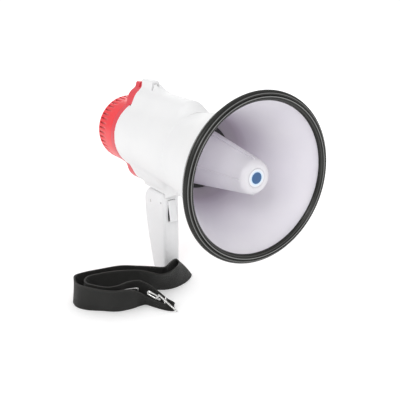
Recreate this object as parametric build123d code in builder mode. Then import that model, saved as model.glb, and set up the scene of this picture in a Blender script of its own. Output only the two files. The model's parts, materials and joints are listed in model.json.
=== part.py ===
from build123d import *
import os
from math import sin, cos, radians, pi

# Handheld megaphone with a folding grip, and its carrying strap lying beside the foot. Millimetres.
# Part frame: origin at the centre of the grip's foot, +Z up, horn axis along Y, mouth facing -Y,
# so the user's left is +X. Sketches use horn coordinates, zero at the centre of the mouth:
# y along the axis towards the rear, z above the axis.

# ---- driving dimensions ----
FLOOR_Z = -200.0                  # foot of the grip
MOUTH_Y, AXIS_Z = -218.0, -FLOOR_Z  # mouth centre in the part frame

RIM_R, RIM_IN = 105.0, 92.7       # rubber rim, outside and inside radius
LIP_Y0, LIP_Y1 = -0.4, 8          # lip of the bell, front and back faces
LIP_R = 99.3
NECK_Y = 129                      # rear edge of the bell's flare
NECK_R = 56.6                     # outside radius where the bell meets the housing
THROAT_Y = 126.0                  # front face of the bell's rear flange
PLATE_T, PLATE_R = 2.8, 43.0      # throat plate in front of that flange
PLATE_Y = THROAT_Y - PLATE_T
FIT = 0.05                        # gap between parts that sit face to face

NOSE_Y0, NOSE_Y1 = 3.0, 116.0     # closed front and open back of the nose
NOSE_FACE_Y = NOSE_Y0 + 1.2       # floor of the nose's front recess
LEG_Y0 = NOSE_Y1 - 6              # front of the nose's leg pads
LEG_Y1 = PLATE_Y - FIT
PLATE_SCREW_PCR = 33              # pitch radius of the leg and driver screws

FLANGE_Y = THROAT_Y + 0.2         # front face of the throat tube's flange
DRIVER_Y, DRIVER_T = 131.4, 8.0   # front of the driver
TOP_PLATE_Y = 140.0
MAGNET_Y0, MAGNET_Y1 = 145.0, 161.0

BODY_Y0, BODY_Y1 = 129.2, 277.0   # housing, front and rear edges
BODY_R = 50.4                     # housing radius at the rear edge
TOP_LOBE_R, TOP_LOBE_Z = 22.0, 48.0
LOW_LOBE_R, LOW_LOBE_Z = 25.0, -45.0
LOBE_WALL = 2.4
BEZEL_T = 12.0                    # lobed rear bezel
BEZEL_SCREW_Z = 60.5              # above and below the axis
BEZEL_RECESS_Y = BODY_Y1 + BEZEL_T - 2.0  # floor of its screw recesses
RING_Y0, RING_Y1, RING_Z = 238.0, 275.0, 77.0  # arms of the carrying ring
LUG_HALF = 6.5                    # half thickness of the ring's lug

HOLDER_Y0, HOLDER_Y1, HOLDER_T = 184.0, 243.0, 2.5  # end discs of the battery holder
CELL_R, CELL_PCR = 13.1, 32.5
CELL_Y, CELL_BODY_L, CELL_TIP_L = 190.5, 48.0, 1.5
AMP_Y, AMP_Z = 216, 51.0          # amplifier board, centre and underside
AMP_HOLE_DX, AMP_HOLE_DY = 15, 38  # its holes, from the centre
BOARD_T = 1.6

CAP_R, CAP_Y1 = 49.5, 335.6       # ribbed rear cap
CAP_SKIRT_Y, CAP_EDGE_Y = 289.6, 327  # ends of the cap's full radius
CAP_WALL_Y, CAP_FACE_Y = 330.4, 333   # inside and outside of its rear wall
CONTROL_Y = 312.6                 # front face of the control board
PARTS_Y = CONTROL_Y + BOARD_T     # rear face, where its parts stand
KNOB_X, SLIDER_X = 24.5, -24.5
BUTTON_X, BUTTON_Z = 9.5, -24     # buttons at both sides of the middle
LAMP_Z = 24

GRIP_HALF, GRIP_WALL = 13.0, 2.4  # half thickness and side wall
HINGE_Y, HINGE_Z = 240.0, -93.0   # fold pivot
HINGE_R = 19.5                    # grip's outline round the pivot
TONGUE_R, TONGUE_TOP = 9.0, -66
TRIG_Y, TRIG_Z = 210.0, -88.0     # trigger pivot
PAD_HALF = 5.8                    # half width of the trigger's pad
SWITCH_Z = -109

STRAP_W, STRAP_T = 34.0, 2.0
FITTING_Z = -182.5                # centre height of the strap's slider and hook

HORN_AXIS = Axis((0, MOUTH_Y, AXIS_Z), (0, 1, 0))

os.makedirs("parts", exist_ok=True)


# ---- datum planes ----
def xz(y):
    """Plane across the horn axis; local axes X and Z. A negative extrusion runs rearwards."""
    return Plane(origin=(0, MOUTH_Y + y, AXIS_Z), x_dir=(1, 0, 0), z_dir=(0, -1, 0))


def yz(x=0.0):
    """Plane along the horn axis; local axes Y and Z, normal +X."""
    return Plane(origin=(x, MOUTH_Y, AXIS_Z), x_dir=(0, 1, 0), z_dir=(1, 0, 0))


def xy(z):
    """Horizontal plane at z above the horn axis; local axes X and Y."""
    return Plane(origin=(0, MOUTH_Y, AXIS_Z + z), x_dir=(1, 0, 0), z_dir=(0, 0, 1))


# ---- places: calling one gives a fresh location context ----
def at(*points):
    return lambda: Locations(*points)


def polar(radius, count, start=0.0):
    return lambda: PolarLocations(radius, count, start_angle=start)


CENTRE = at((0, 0))
NOSE_LEGS = polar(PLATE_SCREW_PCR, 4)
DRIVER_SCREWS = polar(PLATE_SCREW_PCR, 4, 45)
CELLS = polar(CELL_PCR, 6, 30)
AMP_HOLES = at(*[(x, AMP_Y + y) for x in (-AMP_HOLE_DX, AMP_HOLE_DX)
                 for y in (-AMP_HOLE_DY, AMP_HOLE_DY)])
BEZEL_SCREWS = at((0, BEZEL_SCREW_Z), (0, -BEZEL_SCREW_Z))
KNOB = at((KNOB_X, 0))
SLIDER = at((SLIDER_X, 0))
BUTTONS = at((-BUTTON_X, BUTTON_Z), (BUTTON_X, BUTTON_Z))
LAMP = at((0, LAMP_Z))
GRIP_SCREW_POINTS = ((211, -130), (215, -186), (243, -124))
GRIP_SCREWS = at(*GRIP_SCREW_POINTS)
HINGE = at((HINGE_Y, HINGE_Z))
TRIGGER_PIVOT = at((TRIG_Y, TRIG_Z))


# ---- helpers ----
def save(name, builder):
    builder.part.label = name
    export_step(builder.part, f"parts/{name}.step")


def turned(*points):
    """A ring or disc turned about the horn axis from (y, radius) points."""
    with BuildPart() as solid:
        with BuildSketch(yz()):
            with BuildLine():
                Polyline(*points, close=True)
            make_face()
        revolve(axis=HORN_AXIS)
    return solid


def rods(places, *steps, bore=0):
    """Round bars at the places; each step is (plane, radius, extrusion)."""
    with BuildPart() as bars:
        for plane, radius, amount in steps:
            with BuildSketch(plane):
                with places():
                    Circle(radius)
                    if bore:
                        Circle(bore, mode=Mode.SUBTRACT)
            extrude(amount=amount)
    return bars


def board_blocks(places, width, height, length):
    """Blocks standing on the rear face of the control board."""
    with BuildPart() as blocks:
        with BuildSketch(xz(PARTS_Y)):
            with places():
                Rectangle(width, height)
        extrude(amount=-length)
    return blocks


def rectangle_between(x0, x1, y0, y1):
    """Rectangle in the current sketch, by its local limits."""
    with Locations(((x0 + x1) / 2, (y0 + y1) / 2)):
        Rectangle(x1 - x0, y1 - y0)


# ============ horn ============
# Flared bell: lip, flare, rear flange round the throat plate, and spigot that enters the housing.
with BuildPart() as horn_bell:
    with BuildSketch(yz()):
        with BuildLine():
            Polyline((LIP_Y0, 97.7), (LIP_Y0, LIP_R), (LIP_Y1, LIP_R), (LIP_Y1, 97.2))
            Spline((LIP_Y1, 97.2), (25, 87.5), (50, 76.5), (80, 66.8), (107, 60.2),
                   (NECK_Y, NECK_R))
            Polyline((NECK_Y, NECK_R), (NECK_Y, 51.5), (138, 51.5), (138, 49.2), (NECK_Y, 49.2),
                     (NECK_Y, 39.5), (THROAT_Y, 39.5), (THROAT_Y, PLATE_R + 0.15),
                     (PLATE_Y + 0.6, PLATE_R + 0.15), (PLATE_Y - 0.3, PLATE_R + 1.1))
            Spline((PLATE_Y - 0.3, PLATE_R + 1.1), (121.3, 49.2), (117.6, 53.6), (112.0, 56.4),
                   (107, 57.8), (80, 64.4), (50, 74.0), (25, 84.8), (LIP_Y0, 97.7))
        make_face()
    revolve(axis=HORN_AXIS)
save("horn_bell", horn_bell)

# Throat plate: closes the bell's neck round the throat tube and carries the nose and the driver.
with BuildPart() as throat_plate:
    with BuildSketch(xz(PLATE_Y)):
        Circle(PLATE_R)
        Circle(15.2, mode=Mode.SUBTRACT)
        with DRIVER_SCREWS():
            Circle(2.15, mode=Mode.SUBTRACT)
        with NOSE_LEGS():
            Circle(1.7, mode=Mode.SUBTRACT)
    extrude(amount=-PLATE_T + FIT)
save("throat_plate", throat_plate)

# Rubber rim: rounded face with two shallow ridges, tapering back over the lip and hooked behind it.
save("rim_gasket", turned(
    (9.0, 97.9), (9.6, 98.6), (9.5, 99.6), (8.2, 100.4), (5.6, 101.7), (3.0, 103.2),
    (1.8, 103.6), (1.2, 104.3), (-0.2, RIM_R - 0.1), (-1.2, RIM_R), (-2.4, 104.6),
    (-2.9, 103.9), (-3.5, 103.9), (-4.6, 103.1), (-5.9, 101.2), (-6.5, 99.4), (-6.1, 98.9),
    (-6.6, 98.3), (-6.0, 95.8), (-4.2, 93.7), (-1.9, RIM_IN), (-1.0, RIM_IN), (-0.5, 93.4),
    (-0.5, 99.4), (8.1, 99.4), (8.1, 97.9)))

# Nose: hollow tapered reflector, closed at the front, with four fins and four legs.
with BuildPart() as nose_reflector:
    with BuildSketch(yz()):
        with BuildLine():
            Line((NOSE_FACE_Y, 0), (NOSE_FACE_Y, 11.5))
            Polyline((NOSE_FACE_Y, 11.5), (NOSE_Y0, 12.2), (NOSE_Y0, 15.0))
            shoulder = Spline((NOSE_Y0, 15.0), (NOSE_Y0 + 3.0, 19.2), (NOSE_Y0 + 10, 22.0),
                              tangents=[(0, 1), (1, 0.16)])
            Line(shoulder @ 1, (NOSE_Y1, 36.5))
            Polyline((NOSE_Y1, 36.5), (NOSE_Y1, 34.7), (NOSE_Y0 + 12, 20.2),
                     (NOSE_Y0 + 5, 15.5), (NOSE_Y0 + 3.4, 11), (NOSE_Y0 + 3.4, 0),
                     (NOSE_FACE_Y, 0))
        make_face()
    revolve(axis=HORN_AXIS)
    for quarter in range(4):
        angle = quarter * pi / 2
        fin_plane = Plane(origin=(0, MOUTH_Y, AXIS_Z), x_dir=(0, 1, 0),
                          z_dir=(cos(angle), 0, -sin(angle)))
        with BuildSketch(fin_plane):
            with BuildLine():
                Polyline((10, 20.5), (12, 23.6), (30, 26.1), (NOSE_Y1, 37.9), (LEG_Y1, 37.9),
                         (LEG_Y1, 31.0), (LEG_Y0, 31.0), (NOSE_Y1 - 8, 34.6), close=True)
            make_face()
        extrude(amount=0.6, both=True)
    # leg pads with pilot holes
    with BuildSketch(xz(LEG_Y0)):
        with NOSE_LEGS():
            Circle(3.2)
    extrude(amount=LEG_Y0 - LEG_Y1)
    with BuildSketch(xz(PLATE_Y)):
        with NOSE_LEGS():
            Circle(1.3)
    extrude(amount=10, mode=Mode.SUBTRACT)
save("nose_reflector", nose_reflector)

# Plain round inlay in the nose's front recess.
save("nose_badge", rods(CENTRE, (xz(NOSE_FACE_Y), 11.2, 0.9)))

# Self-tapping screws through the throat plate into the nose's legs: shanks, then heads.
save("nose_screws", rods(NOSE_LEGS, (xz(THROAT_Y - 10), 1.25, -10.5),
                         (xz(THROAT_Y + 0.2), 2.9, -2.0)))

# Throat tube: carries the sound from the driver forward into the nose.
save("throat_tube", turned(
    (FLANGE_Y, 26), (DRIVER_Y - FIT, 26), (DRIVER_Y - FIT, 10.0), (40, 14.0), (40, 15.6),
    (70, 14.3), (123, 14.8), (FLANGE_Y, 14.8)))

# ============ compression driver ============
with BuildPart() as driver_front:
    with BuildSketch(xz(DRIVER_Y)):
        Circle(41)
        Circle(9.6, mode=Mode.SUBTRACT)
        with DRIVER_SCREWS():
            Circle(2.15, mode=Mode.SUBTRACT)
        with NOSE_LEGS():
            Circle(4.0, mode=Mode.SUBTRACT)
    extrude(amount=-DRIVER_T)
    # recess behind, for the diaphragm
    with BuildSketch(xz(DRIVER_Y + DRIVER_T / 2)):
        Circle(27)
    extrude(amount=-4.2, mode=Mode.SUBTRACT)
    circles = driver_front.edges().filter_by(GeomType.CIRCLE)
    chamfer(circles.group_by(SortBy.RADIUS)[-1], 1.0)
save("driver_front", driver_front)

save("diaphragm", turned(
    (139.4, 27.5), (139.9, 27.5), (139.9, 25), (138.6, 22), (139.6, 18.2), (137.3, 8),
    (136.9, 0), (136.4, 0), (136.8, 8.2), (138.9, 18), (138.0, 22), (139.4, 25.5)))
COIL_Y = TOP_PLATE_Y - FIT
save("voice_coil", turned((COIL_Y, 17.7), (147.5, 17.7), (147.5, 18.4), (COIL_Y, 18.4)))
save("top_plate", turned(
    (TOP_PLATE_Y, 19.2), (MAGNET_Y0, 19.2), (MAGNET_Y0, 40), (TOP_PLATE_Y, 40)))
save("magnet", turned((MAGNET_Y0, 22), (MAGNET_Y1, 22), (MAGNET_Y1, 42), (MAGNET_Y0, 42)))

# Yoke: disc behind the magnet, with the pole running forward through it.
with BuildPart() as magnet_yoke:
    for radius, amount in ((39, -5), (16.9, 20.5)):
        with BuildSketch(xz(MAGNET_Y1)):
            Circle(radius)
        extrude(amount=amount)
    chamfer(magnet_yoke.faces().sort_by(Axis.Y)[-1].edges(), 1.2)
save("magnet_yoke", magnet_yoke)

# Four machine screws with nuts, through the driver's front and the throat plate.
with BuildPart() as driver_screws:
    with BuildSketch(xz(120.4)):
        with DRIVER_SCREWS():
            Circle(2.0)
    extrude(amount=-18.9)
    with BuildSketch(xz(PLATE_Y - FIT)):
        with DRIVER_SCREWS():
            RegularPolygon(3.9, 6)
    extrude(amount=2.6)
save("driver_screws", driver_screws)


# ============ housing ============
def lobe(front_y, z, radius):
    """Lobe with a rounded front end, running back to the housing's rear edge."""
    with BuildPart() as solid:
        with BuildSketch(xz(front_y)):
            with Locations((0, z)):
                Circle(radius)
        extrude(amount=-(BODY_Y1 - front_y))
        fillet(solid.faces().sort_by(Axis.Y)[0].edges(), 13)
    return solid


# Side outlines, (y, z).
HINGE_BLOCK = [(160, -46), (160, -59.0), (165, -62.5), (198.2, -79), (198.2, -72),
               (256.5, -72), (257.5, -71), (257.5, -46)]
RING_LUG = [(212, 66), (214, 70), (226, 75.2), (238, 81.5), (244, 83), (270, 83),
            (273, 80.5), (273, 66)]

top_lobe = lobe(136, TOP_LOBE_Z, TOP_LOBE_R)
low_lobe = lobe(188, LOW_LOBE_Z, LOW_LOBE_R)

with BuildPart() as main_body:
    with BuildSketch(yz()):
        with BuildLine():
            Spline((BODY_Y0, NECK_R), (150, 54.5), (180, 52.7), (220, 51.3), (BODY_Y1, BODY_R))
            Polyline((BODY_Y1, BODY_R), (BODY_Y1, 0), (BODY_Y0, 0), (BODY_Y0, NECK_R))
        make_face()
    revolve(axis=HORN_AXIS)
    add(top_lobe.part)
    add(low_lobe.part)
    # underside block with a gusset in front, and ring lug on top with a fairing in front
    for outline, half_width in ((HINGE_BLOCK, GRIP_HALF), (RING_LUG, LUG_HALF)):
        with BuildSketch(yz()):
            with BuildLine():
                Polyline(*outline, close=True)
            make_face()
        extrude(amount=half_width, both=True)
    chamfer(main_body.edges().filter_by(
        lambda e: e.center().Z > AXIS_Z + 82 and abs(abs(e.center().X) - LUG_HALF) < 0.01), 2.4)
    # hollow, cut 1 past both ends
    with BuildSketch(yz()):
        with BuildLine():
            Spline((BODY_Y0 - 1, 52.6), (145, 51.8), (180, 50.1), (220, 48.8),
                   (BODY_Y1 + 1, 47.9))
            Polyline((BODY_Y1 + 1, 47.9), (BODY_Y1 + 1, 0), (BODY_Y0 - 1, 0),
                     (BODY_Y0 - 1, 52.6))
        make_face()
    revolve(axis=HORN_AXIS, mode=Mode.SUBTRACT)
    for front_y, z, radius in ((152, TOP_LOBE_Z, TOP_LOBE_R), (258, LOW_LOBE_Z, LOW_LOBE_R)):
        with BuildSketch(xz(front_y)):
            with Locations((0, z)):
                Circle(radius - LOBE_WALL)
        extrude(amount=-(BODY_Y1 + 2 - front_y), mode=Mode.SUBTRACT)
    # tongue of the fold hinge
    with BuildSketch(yz()):
        with HINGE():
            Circle(TONGUE_R)
        rectangle_between(HINGE_Y - TONGUE_R, HINGE_Y + TONGUE_R, HINGE_Z, TONGUE_TOP)
        with HINGE():
            Circle(2.55, mode=Mode.SUBTRACT)
    extrude(amount=8.0, both=True)
    # slit that the front arm of the carrying ring swings through, and the ring's bore
    with BuildSketch(yz()):
        with Locations((RING_Y0, RING_Z + 1)):
            Rectangle(5.0, 16.2)
    extrude(amount=8, both=True, mode=Mode.SUBTRACT)
    with BuildSketch(xz(232)):
        with Locations((0, RING_Z)):
            Circle(1.68)
    extrude(amount=-50, mode=Mode.SUBTRACT)
    # posts for the amplifier board
    with BuildSketch(xy(AMP_Z + BOARD_T + 0.1)):
        with AMP_HOLES():
            Circle(2.8)
            Circle(1.25, mode=Mode.SUBTRACT)
    extrude(amount=7.4)
    # screw bosses for the bezel, each with a web to the lobe's wall
    with BuildSketch(xz(BODY_Y1 - 14)):
        for side in (1, -1):
            with Locations((0, side * BEZEL_SCREW_Z)):
                Circle(3.6)
            with Locations((0, side * (BEZEL_SCREW_Z + 4))):
                Rectangle(3.0, 8.0)
            with Locations((0, side * BEZEL_SCREW_Z)):
                Circle(1.55, mode=Mode.SUBTRACT)
    extrude(amount=-14)
save("main_body", main_body)

# ============ inside the housing ============
# Battery holder: two end discs joined by a tube with six ribs.
with BuildPart() as battery_holder:
    for y in (HOLDER_Y0, HOLDER_Y1):
        with BuildSketch(xz(y)):
            Circle(46.0)
            with CELLS():
                Circle(5.0, mode=Mode.SUBTRACT)
        extrude(amount=-HOLDER_T)
    with BuildSketch(xz(HOLDER_Y0)):
        Circle(11)
        Circle(8.5, mode=Mode.SUBTRACT)
        with PolarLocations(23.5, 6):
            Rectangle(26, 1.6)
        Circle(8.5, mode=Mode.SUBTRACT)
    extrude(amount=-(HOLDER_Y1 - HOLDER_Y0 + HOLDER_T))
save("battery_holder", battery_holder)

save("battery_cells", rods(CELLS, (xz(CELL_Y), CELL_R, -CELL_BODY_L),
                           (xz(CELL_Y - CELL_TIP_L), 3.2, -CELL_TIP_L)))
save("battery_contacts", rods(CELLS, (xz(HOLDER_Y0 + HOLDER_T + 0.1), 6.0, -2.3)))
save("battery_springs", rods(
    CELLS, (xz(CELL_Y + CELL_BODY_L + 0.1), 6.5, -4.3), bore=5.4))

with BuildPart() as amplifier_board:
    with BuildSketch(xy(AMP_Z)):
        with Locations((0, AMP_Y)):
            Rectangle(36, 84)
        with AMP_HOLES():
            Circle(1.6, mode=Mode.SUBTRACT)
    extrude(amount=BOARD_T)
save("amplifier_board", amplifier_board)

with BuildPart() as board_components:
    with BuildSketch(xy(AMP_Z + BOARD_T)):
        with Locations((0, 190)):
            Rectangle(22, 10)
        with Locations((-8, 206), (8, 206)):
            Circle(4.2)
        with Locations((0, 226)):
            Rectangle(9, 16)
        with Locations((-11, 240), (11, 240)):
            Circle(3.1)
    extrude(amount=7.5)
save("board_components", board_components)

# Heads below the board, shanks up into the posts.
save("board_screws", rods(AMP_HOLES, (xy(AMP_Z), 2.4, -1.6), (xy(AMP_Z), 1.2, 8.0)))

# ============ rear end ============
with BuildPart() as rear_bezel:
    with BuildSketch(xz(BODY_Y1 + 0.2)):
        Circle(BODY_R)
        with Locations((0, TOP_LOBE_Z)):
            Circle(TOP_LOBE_R)
        with Locations((0, LOW_LOBE_Z)):
            Circle(LOW_LOBE_R)
        with Locations((0, 69.0)):
            RectangleRounded(13, 16, 3.0)
    extrude(amount=-BEZEL_T)
    chamfer(rear_bezel.faces().sort_by(Axis.Y)[-1].edges(), 1.2)
    # opening for the cap, screw holes and head recesses
    with BuildSketch(xz(BODY_Y1)):
        Circle(46.4)
    extrude(amount=-BEZEL_T - 2, mode=Mode.SUBTRACT)
    with BuildSketch(xz(BODY_Y1)):
        with BEZEL_SCREWS():
            Circle(1.7)
    extrude(amount=-BEZEL_T - 2, mode=Mode.SUBTRACT)
    with BuildSketch(xz(BEZEL_RECESS_Y)):
        with BEZEL_SCREWS():
            Circle(3.2)
    extrude(amount=-6, mode=Mode.SUBTRACT)
save("rear_bezel", rear_bezel)

save("bezel_screws", rods(BEZEL_SCREWS, (xz(BEZEL_RECESS_Y), 2.8, -1.9),
                          (xz(BODY_Y1 - 6), 1.5, -(BEZEL_T + 4.0))))

# Ribbed cap that twists off for the batteries; it carries the microphone and the controls.
with BuildPart() as rear_cap:
    with BuildSketch(yz()):
        with BuildLine():
            Polyline((CAP_WALL_Y, 0), (CAP_FACE_Y, 0), (CAP_FACE_Y, 34.5), (CAP_Y1, 37),
                     (CAP_Y1, 41.5))
            Spline((CAP_Y1, 41.5), (334.9, 45.9), (332.2, 48.4), (CAP_EDGE_Y, CAP_R),
                   tangents=[(0, 1), (-1, 0)])
            Polyline((CAP_EDGE_Y, CAP_R), (CAP_SKIRT_Y, CAP_R), (CAP_SKIRT_Y, 46.1),
                     (279, 46.1), (279, 43.6), (318, 44.0), (CAP_WALL_Y, 37), (CAP_WALL_Y, 0))
        make_face()
    revolve(axis=HORN_AXIS)
    # grip grooves, open at the rear
    with BuildSketch(xz(307)):
        with PolarLocations(CAP_R, 44):
            Rectangle(3.4, 2.4)
    extrude(amount=-31, mode=Mode.SUBTRACT)
    # openings in the rear face: microphone, volume shaft, mode slider, two buttons, lamp
    with BuildSketch(xz(329)):
        Circle(14.3)
        with KNOB():
            Circle(2.6)
        with SLIDER():
            Rectangle(4.4, 13.0)
        with BUTTONS():
            Circle(4.2)
        with LAMP():
            Circle(1.6)
    extrude(amount=-8, mode=Mode.SUBTRACT)
save("rear_cap", rear_cap)

GRILLE_RINGS = ((4.0, 6, 0.9), (8.0, 12, 0.9), (11.4, 18, 0.8))  # pitch radius, count, hole radius
with BuildPart() as mic_grille:
    with BuildSketch(xz(330.6)):
        Circle(14.0)
    extrude(amount=-3.0)
    fillet(mic_grille.faces().sort_by(Axis.Y)[-1].edges(), 1.0)
    with BuildSketch(xz(330.0)):
        Circle(0.9)
        for pitch_radius, count, hole_radius in GRILLE_RINGS:
            with PolarLocations(pitch_radius, count):
                Circle(hole_radius)
    extrude(amount=-6, mode=Mode.SUBTRACT)
save("mic_grille", mic_grille)

save("mic_boot", rods(CENTRE, (xz(318.4), 8.5, -12.0), bore=4.95))
save("mic_capsule", rods(CENTRE, (xz(320.4), 4.9, -6.5)))

with BuildPart() as control_board:
    with BuildSketch(xz(CONTROL_Y)):
        Circle(36)
        with PolarLocations(32, 3, start_angle=90):
            Circle(1.7, mode=Mode.SUBTRACT)
    extrude(amount=-BOARD_T)
save("control_board", control_board)

save("volume_pot", board_blocks(KNOB, width=12, height=12, length=8))
save("mode_switch", board_blocks(SLIDER, width=8, height=18, length=9))
save("button_switches", board_blocks(BUTTONS, width=6.2, height=6.2, length=10.6))

KNOB_Y, KNOB_R, KNOB_L = CAP_FACE_Y + 0.4, 7.4, 6.4
with BuildPart() as volume_knob:
    with BuildSketch(xz(KNOB_Y)):
        with KNOB():
            Circle(KNOB_R)
    extrude(amount=-KNOB_L)
    fillet(volume_knob.faces().sort_by(Axis.Y)[-1].edges(), 1.2)
    # flutes round the rim
    with BuildSketch(xz(CAP_FACE_Y)):
        with KNOB():
            with PolarLocations(KNOB_R, 18):
                Circle(0.55)
    extrude(amount=-5.4, mode=Mode.SUBTRACT)
    # pointer groove
    with BuildSketch(xz(KNOB_Y + KNOB_L - 0.6)):
        with Locations((KNOB_X, 4.2)):
            Rectangle(1.1, 4.4)
    extrude(amount=-1.0, mode=Mode.SUBTRACT)
    # shaft
    with BuildSketch(xz(322.4)):
        with KNOB():
            Circle(2.5)
    extrude(amount=-11.4)
save("volume_knob", volume_knob)

with BuildPart() as mode_slider:
    # stem, then thumb piece: front y, width, height, length
    for y, width, height, length in ((323.4, 4.0, 4.6, 10.2), (333.3, 6.4, 6.0, 3.0)):
        with BuildSketch(xz(y)):
            with SLIDER():
                Rectangle(width, height)
        extrude(amount=-length)
    # grooves across the thumb piece
    with BuildSketch(xz(334.3)):
        with Locations((SLIDER_X, 1.5), (SLIDER_X, 0), (SLIDER_X, -1.5)):
            Rectangle(7, 0.5)
    extrude(amount=-3, mode=Mode.SUBTRACT)
save("mode_slider", mode_slider)

for name, x in (("record_button", -BUTTON_X), ("play_button", BUTTON_X)):
    with BuildPart() as button:
        with BuildSketch(xz(327.0)):
            with Locations((x, BUTTON_Z)):
                Circle(4.0)
        extrude(amount=-9.0)
        fillet(button.faces().sort_by(Axis.Y)[-1].edges(), 0.9)
        # flange inside the cap
        with BuildSketch(xz(327.0)):
            with Locations((x, BUTTON_Z)):
                Circle(5.4)
        extrude(amount=-1.2)
    save(name, button)

with BuildPart() as status_lamp:
    with BuildSketch(xz(PARTS_Y)):
        with LAMP():
            Circle(1.5)
    extrude(amount=-19.4)
    fillet(status_lamp.faces().sort_by(Axis.Y)[-1].edges(), 1.2)
save("status_lamp", status_lamp)

# ============ carrying ring ============
# Open wire loop pivoting in the lug, swung out to the left and RING_TILT below level.
RING_TILT = radians(34)
RING_REACH = 25
RING_PLANE = Plane(origin=(0, MOUTH_Y, AXIS_Z + RING_Z),
                   x_dir=(cos(RING_TILT), 0, -sin(RING_TILT)),
                   z_dir=(sin(RING_TILT), 0, cos(RING_TILT)))
with BuildPart() as carry_ring:
    with BuildLine(RING_PLANE) as ring_path:
        FilletPolyline((0, RING_Y0 + 10), (0, RING_Y0), (RING_REACH, RING_Y0 + 0.5),
                       (RING_REACH, RING_Y1 - 0.5), (0, RING_Y1), (0, RING_Y1 - 10), radius=1.9)
    with BuildSketch(Plane(origin=ring_path.wires()[0] @ 0, z_dir=ring_path.wires()[0] % 0)):
        Circle(1.6)
    sweep()
save("carry_ring", carry_ring)

# ============ grip ============
HEEL_Y, HEEL_Z = 237.2, FLOOR_Z + 5  # rear lower corner of the outline
with BuildPart() as grip_outer:
    with BuildSketch(yz()):
        with BuildLine():
            CenterArc((HINGE_Y, HINGE_Z), HINGE_R, 0, 90)
            Polyline((HINGE_Y, HINGE_Z + HINGE_R), (207.5, HINGE_Z + HINGE_R), (201.4, -80.5))
            Spline((201.4, -80.5), (200.8, -110), (200.9, -160), (201.6, FLOOR_Z + 4))
            Polyline((201.6, FLOOR_Z + 4), (204.4, FLOOR_Z), (232.0, FLOOR_Z), (HEEL_Y, HEEL_Z))
            Spline((HEEL_Y, HEEL_Z), (249, -155), (257.6, -118), (HINGE_Y + HINGE_R, HINGE_Z),
                   tangents=[(0.28, 1), (0, 1)])
        make_face()
    extrude(amount=GRIP_HALF, both=True)
    fillet(grip_outer.edges().filter_by(
        lambda e: abs(abs(e.center().X) - GRIP_HALF) < 0.01), 4.5)

with BuildPart() as grip_inner:
    with BuildSketch(yz()):
        with BuildLine():
            Polyline((206.5, -76.2), (230.5, -76.2), (230.5, -105.5), (255.4, -105.5),
                     (251.0, -128), (242.5, -162), (234.5, -194), (206, -196), (203.6, -160),
                     (203.6, -110), (203.9, -82), close=True)
        make_face()
    extrude(amount=GRIP_HALF - GRIP_WALL, both=True)

with BuildPart() as grip_cuts:
    # hinge slot, open at the top and the back
    with BuildSketch(yz()):
        rectangle_between(230.4, 268, -102.6, TONGUE_TOP)
    extrude(amount=8.25, both=True)
    # trigger window in the front wall
    with BuildSketch(xz(192)):
        rectangle_between(-6.2, 6.2, -115.6, -82.6)
    extrude(amount=-14)


def grip_half(keep):
    """One half shell: Keep.BOTTOM gives the right-hand (-X) half, Keep.TOP the left-hand."""
    with BuildPart() as half:
        add(grip_outer.part)
        add(grip_inner.part, mode=Mode.SUBTRACT)
        # screw posts and trigger pin boss, the boss cut away in the middle for the lever
        posts = [(point, 3.4) for point in GRIP_SCREW_POINTS] + [((TRIG_Y, TRIG_Z), 3.6)]
        for point, radius in posts:
            with BuildSketch(yz(-GRIP_HALF + 2)):
                with Locations(point):
                    Circle(radius)
            extrude(amount=2 * GRIP_HALF - 4)
        with BuildSketch(yz(-6.9)):
            with TRIGGER_PIVOT():
                Circle(6.6)
        extrude(amount=2 * 6.9, mode=Mode.SUBTRACT)
        add(grip_cuts.part, mode=Mode.SUBTRACT)
        # holes for the fold pin and the trigger pin
        with BuildSketch(yz(-GRIP_HALF - 1)):
            with HINGE():
                Circle(2.5)
            with TRIGGER_PIVOT():
                Circle(1.5)
        extrude(amount=2 * GRIP_HALF + 2, mode=Mode.SUBTRACT)
        # screw holes and head recesses, entered from the left-hand side
        with BuildSketch(yz(-GRIP_HALF + 3)):
            with GRIP_SCREWS():
                Circle(1.3)
        extrude(amount=2 * GRIP_HALF, mode=Mode.SUBTRACT)
        with BuildSketch(yz(GRIP_HALF - 4.0)):
            with GRIP_SCREWS():
                Circle(2.9)
        extrude(amount=6, mode=Mode.SUBTRACT)
        split(bisect_by=Plane.YZ, keep=keep)
    return half


save("grip_right", grip_half(Keep.BOTTOM))
save("grip_left", grip_half(Keep.TOP))
save("grip_screws", rods(GRIP_SCREWS, (yz(GRIP_HALF - 4.0), 2.6, 1.8),
                         (yz(-GRIP_HALF + 4), 1.25, 2 * GRIP_HALF - 8.0)))
save("fold_pin", rods(HINGE, (yz(-GRIP_HALF + 0.5), 2.49, 2 * GRIP_HALF - 1.0)))

# ============ trigger ============
# Finger pad; the lever behind it turns on the pin.
with BuildPart() as trigger:
    with BuildSketch(yz()):
        with BuildLine():
            Polyline((201.6, -83.2), (200.2, -83.6))
            Spline((200.2, -83.6), (199.4, -88), (196.6, -98), (194.2, -107), (193.4, -112.6))
            Polyline((193.4, -112.6), (194.2, -114.4), (196.2, -114.4), (196.8, -107),
                     (199.2, -98), (202.0, -88), (203.2, -84.4), (201.6, -83.2))
        make_face()
    extrude(amount=PAD_HALF, both=True)
    # round the long side edges of the front face
    fillet(trigger.edges().filter_by(
        lambda e: e.center().Y < MOUTH_Y + 197.5
        and abs(abs(e.center().X) - PAD_HALF) < 0.01 and e.length > 10), 1.2)
save("trigger", trigger)

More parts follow.
